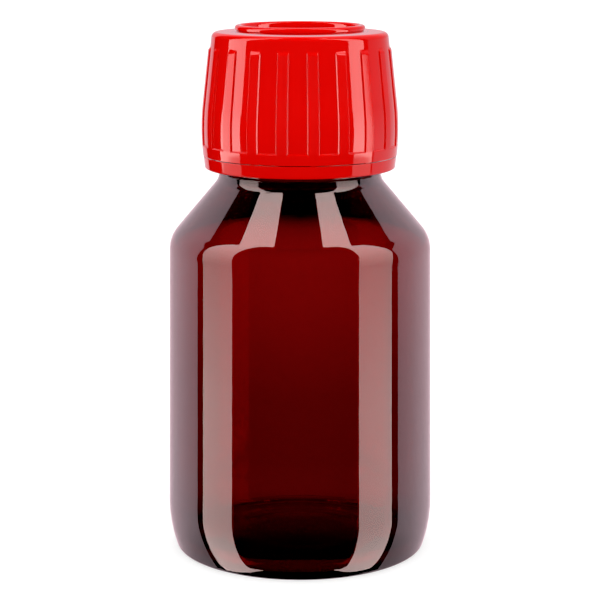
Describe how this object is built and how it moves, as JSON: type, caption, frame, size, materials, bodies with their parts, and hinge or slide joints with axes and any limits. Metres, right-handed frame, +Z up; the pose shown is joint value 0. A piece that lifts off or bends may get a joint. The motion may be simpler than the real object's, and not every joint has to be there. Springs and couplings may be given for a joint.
{
  "type": "prescription vial",
  "caption": "Dark round pharmacy bottle with a sloping shoulder, a ribbed red screw cap and a tamper-evident band.",
  "frame": {"origin": "centre of the plane that the bottle stands on, on its axis", "axes": "+Z up along the bottle's axis; the main view looks along +Y; +X to the right"},
  "size_m": [0.0414, 0.0414, 0.0822],
  "materials": {
    "pet_dark_amber": "gloss",
    "pp_red": "gloss",
    "ldpe_natural": "satin",
    "pe_foam": "matte"
  },
  "bodies": {
    "bottle": {"bottle": "pet_dark_amber", "pour_insert": "ldpe_natural"},
    "liner": {"sealing_liner": "pe_foam"},
    "cap": {"cap_shell": "pp_red"},
    "band": {"tamper_band": "pp_red", "break_bridges": "pp_red"}
  },
  "joints": [
    {"name": "cap_rise", "type": "slide", "parent": "bottle", "child": "liner", "axis": [0, 0, 1], "range_m": [0, 0.0191]},
    {"name": "cap_turn", "type": "hinge", "parent": "liner", "child": "cap", "pos_m": [0, 0, 0.07], "axis": [0, 0, 1], "range_deg": [0, 2160]},
    {"name": "band_spin", "type": "hinge", "parent": "bottle", "child": "band", "pos_m": [0, 0, 0.0604], "axis": [0, 0, 1], "continuous": true}
  ],
  "couplings": [
    {"joint": "cap_rise", "follows": "cap_turn", "m_per_rad": 0.00050611}
  ]
}
